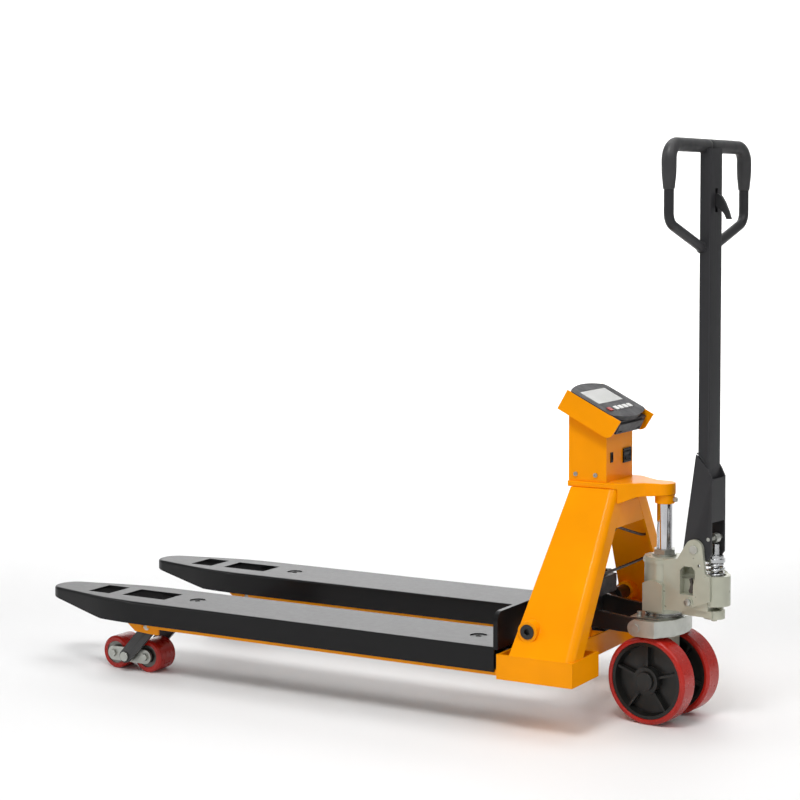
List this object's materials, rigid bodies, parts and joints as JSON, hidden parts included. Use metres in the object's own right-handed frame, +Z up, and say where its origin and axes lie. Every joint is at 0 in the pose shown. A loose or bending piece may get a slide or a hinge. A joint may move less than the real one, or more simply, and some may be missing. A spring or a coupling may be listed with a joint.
{
  "type": "pallet truck scale",
  "caption": "Hand pallet truck that weighs its load: two weighing forks on a leaning frame with a tilted indicator, hydraulic pump, steering wheels and loop handle.",
  "frame": {"origin": "middle of the outer box in X and Y, on the floor", "axes": "+X towards the operator's handle, forks point along -X, +Y to the far side, +Z up"},
  "size_m": [1.5982, 0.56, 1.192],
  "materials": {
    "fork_black": "satin black paint",
    "frame_orange": "glossy yellow-orange powder coat",
    "load_cell_steel": "nickel-plated alloy steel",
    "zinc": "zinc-plated steel",
    "black_plastic": "moulded black plastic",
    "cable_black": "black cable jacket",
    "indicator_grey": "dark grey ABS",
    "fascia": "printed membrane",
    "display": "reflective grey LCD",
    "key_red": "moulded red key",
    "key_white": "moulded white key",
    "chrome_rod": "hard chrome",
    "bearing_steel": "ground bearing steel",
    "casting": "cast body, aluminium-grey paint",
    "dark_steel": "oiled steel",
    "hub_black": "black painted casting",
    "tyre_red": "red polyurethane",
    "handle_grey": "dark grey powder coat",
    "grip": "moulded grip rubber",
    "trigger": "black nylon",
    "plated": "bright zinc plate",
    "linkage_black": "black paint"
  },
  "bodies": {
    "chassis": {"fork_shell_near": "fork_black", "fork_shell_far": "fork_black", "lower_fork_near": "frame_orange", "lower_fork_far": "frame_orange", "load_cells": "load_cell_steel", "chassis_fasteners": "zinc", "heel_box_near": "frame_orange", "heel_box_far": "frame_orange", "frame_leg_near": "frame_orange", "frame_leg_far": "frame_orange", "frame_web": "frame_orange", "head_bracket": "frame_orange", "junction_box": "black_plastic", "signal_cables": "cable_black", "indicator_pedestal": "frame_orange", "indicator_cradle": "frame_orange", "indicator_case": "indicator_grey", "indicator_fascia": "fascia", "display_panel": "display", "battery_cover": "indicator_grey", "pedestal_sockets": "black_plastic", "piston_rod": "chrome_rod"},
    "power_switch": {"switch_rocker": "black_plastic"},
    "key_red": {"key_red": "key_red"},
    "key_white_1": {"key_white_1": "key_white"},
    "key_white_2": {"key_white_2": "key_white"},
    "key_white_3": {"key_white_3": "key_white"},
    "key_white_4": {"key_white_4": "key_white"},
    "thrust_plate": {"thrust_plate": "zinc", "link_pins": "zinc", "thrust_bearing": "bearing_steel"},
    "steering": {"pump_casting": "casting", "gland_nut": "zinc", "pump_sump": "casting", "wheel_axle": "hub_black"},
    "wheel_near": {"wheel_hub_near": "hub_black", "wheel_tyre_near": "tyre_red"},
    "wheel_far": {"wheel_hub_far": "hub_black", "wheel_tyre_far": "tyre_red"},
    "handle": {"handle_bracket": "handle_grey", "handle_tube": "handle_grey", "handle_loop": "handle_grey", "handle_grips": "grip", "pivot_pin": "zinc"},
    "trigger": {"trigger_lever": "trigger"},
    "plunger": {"plunger": "plated", "plunger_spring": "plated"},
    "release_lever": {"release_lever": "dark_steel"},
    "rocker": {"rocker_frame": "linkage_black"},
    "push_rods": {"push_rods": "linkage_black"},
    "load_frame_near": {"load_frame_near": "linkage_black"},
    "load_frame_far": {"load_frame_far": "linkage_black"},
    "bogie_pin_near": {"bogie_pin_near": "zinc"},
    "bogie_pin_far": {"bogie_pin_far": "zinc"},
    "bogie_near": {"bogie_near": "zinc"},
    "bogie_far": {"bogie_far": "zinc"},
    "roller_near_front": {"roller_near_front": "tyre_red"},
    "roller_near_rear": {"roller_near_rear": "tyre_red"},
    "roller_far_front": {"roller_far_front": "tyre_red"},
    "roller_far_rear": {"roller_far_rear": "tyre_red"}
  },
  "joints": [
    {"name": "lift", "type": "slide", "parent": "chassis", "child": "thrust_plate", "axis": [0, 0, 1], "range_m": [-0.017, 0.088]},
    {"name": "steer", "type": "hinge", "parent": "thrust_plate", "child": "steering", "pos_m": [0.65094, 0, 0.2], "axis": [0, 0, 1], "range_deg": [-83, 97]},
    {"name": "wheel_near_spin", "type": "hinge", "parent": "steering", "child": "wheel_near", "pos_m": [0.6446, -0.05161, 0.09], "axis": [0.1219, 0.9925, 0], "continuous": true},
    {"name": "wheel_far_spin", "type": "hinge", "parent": "steering", "child": "wheel_far", "pos_m": [0.65728, 0.05161, 0.09], "axis": [0.1219, 0.9925, 0], "continuous": true},
    {"name": "handle_tilt", "type": "hinge", "parent": "steering", "child": "handle", "pos_m": [0.73928, -0.01085, 0.364], "axis": [0.1219, 0.9925, 0], "range_deg": [0, 65], "stiffness_Nm_per_rad": 12, "springref_deg": -28.65},
    {"name": "trigger_pull", "type": "hinge", "parent": "handle", "child": "trigger", "pos_m": [0.75615, -0.01292, 1.076], "axis": [0.1219, 0.9925, 0], "range_deg": [-10, 12], "stiffness_Nm_per_rad": 0.8},
    {"name": "plunger_stroke", "type": "slide", "parent": "steering", "child": "plunger", "axis": [0, 0, -1], "range_m": [0, 0.0385], "deforming": ["plunger_spring"]},
    {"name": "release_turn", "type": "hinge", "parent": "steering", "child": "release_lever", "pos_m": [0.72669, -0.03953, 0.278], "axis": [0.1219, 0.9925, 0], "range_deg": [-7, 8]},
    {"name": "rocker_turn", "type": "hinge", "parent": "chassis", "child": "rocker", "pos_m": [0.46694, 0, 0.208], "axis": [0, -1, 0], "range_deg": [-7, 31]},
    {"name": "push_rod_slide", "type": "slide", "parent": "chassis", "child": "push_rods", "axis": [1, 0, 0], "range_m": [-0.0066, 0.0325]},
    {"name": "load_frame_near_turn", "type": "hinge", "parent": "chassis", "child": "load_frame_near", "pos_m": [-0.48806, -0.195, 0.116], "axis": [0, 1, 0], "range_deg": [-10, 51.5]},
    {"name": "bogie_pin_near_turn", "type": "hinge", "parent": "load_frame_near", "child": "bogie_pin_near", "pos_m": [-0.56306, -0.195, 0.037], "axis": [0, 1, 0], "range_deg": [-51.5, 10]},
    {"name": "bogie_near_tilt", "type": "hinge", "parent": "bogie_pin_near", "child": "bogie_near", "pos_m": [-0.56306, -0.195, 0.037], "axis": [0, 1, 0], "range_deg": [-10, 10]},
    {"name": "roller_near_front_spin", "type": "hinge", "parent": "bogie_near", "child": "roller_near_front", "pos_m": [-0.60806, -0.195, 0.037], "axis": [0, 1, 0], "continuous": true},
    {"name": "roller_near_rear_spin", "type": "hinge", "parent": "bogie_near", "child": "roller_near_rear", "pos_m": [-0.51806, -0.195, 0.037], "axis": [0, 1, 0], "continuous": true},
    {"name": "load_frame_far_turn", "type": "hinge", "parent": "chassis", "child": "load_frame_far", "pos_m": [-0.48806, 0.195, 0.116], "axis": [0, 1, 0], "range_deg": [-10, 51.5]},
    {"name": "bogie_pin_far_turn", "type": "hinge", "parent": "load_frame_far", "child": "bogie_pin_far", "pos_m": [-0.56306, 0.195, 0.037], "axis": [0, 1, 0], "range_deg": [-51.5, 10]},
    {"name": "bogie_far_tilt", "type": "hinge", "parent": "bogie_pin_far", "child": "bogie_far", "pos_m": [-0.56306, 0.195, 0.037], "axis": [0, 1, 0], "range_deg": [-10, 10]},
    {"name": "roller_far_front_spin", "type": "hinge", "parent": "bogie_far", "child": "roller_far_front", "pos_m": [-0.60806, 0.195, 0.037], "axis": [0, 1, 0], "continuous": true},
    {"name": "roller_far_rear_spin", "type": "hinge", "parent": "bogie_far", "child": "roller_far_rear", "pos_m": [-0.51806, 0.195, 0.037], "axis": [0, 1, 0], "continuous": true},
    {"name": "switch_flip", "type": "hinge", "parent": "chassis", "child": "power_switch", "pos_m": [0.54794, 0.035, 0.536], "axis": [0, 1, 0], "range_deg": [0, 16]},
    {"name": "key_red_press", "type": "slide", "parent": "chassis", "child": "key_red", "axis": [-0.4462, 0, -0.8949], "range_m": [0, 0.0011], "stiffness_N_per_m": 400},
    {"name": "key_white_1_press", "type": "slide", "parent": "chassis", "child": "key_white_1", "axis": [-0.4462, 0, -0.8949], "range_m": [0, 0.0011], "stiffness_N_per_m": 400},
    {"name": "key_white_2_press", "type": "slide", "parent": "chassis", "child": "key_white_2", "axis": [-0.4462, 0, -0.8949], "range_m": [0, 0.0011], "stiffness_N_per_m": 400},
    {"name": "key_white_3_press", "type": "slide", "parent": "chassis", "child": "key_white_3", "axis": [-0.4462, 0, -0.8949], "range_m": [0, 0.0011], "stiffness_N_per_m": 400},
    {"name": "key_white_4_press", "type": "slide", "parent": "chassis", "child": "key_white_4", "axis": [-0.4462, 0, -0.8949], "range_m": [0, 0.0011], "stiffness_N_per_m": 400}
  ],
  "couplings": [
    {"joint": "rocker_turn", "follows": "lift", "rad_per_m": 6.065},
    {"joint": "push_rod_slide", "follows": "lift", "ratio": 0.36591},
    {"joint": "load_frame_near_turn", "follows": "lift", "rad_per_m": 10.161},
    {"joint": "load_frame_far_turn", "follows": "lift", "rad_per_m": 10.161},
    {"joint": "bogie_pin_near_turn", "follows": "lift", "rad_per_m": -10.161},
    {"joint": "bogie_pin_far_turn", "follows": "lift", "rad_per_m": -10.161},
    {"joint": "plunger_stroke", "follows": "handle_tilt", "m_per_rad": 0.0336},
    {"joint": "release_turn", "follows": "trigger_pull", "ratio": 0.6}
  ]
}
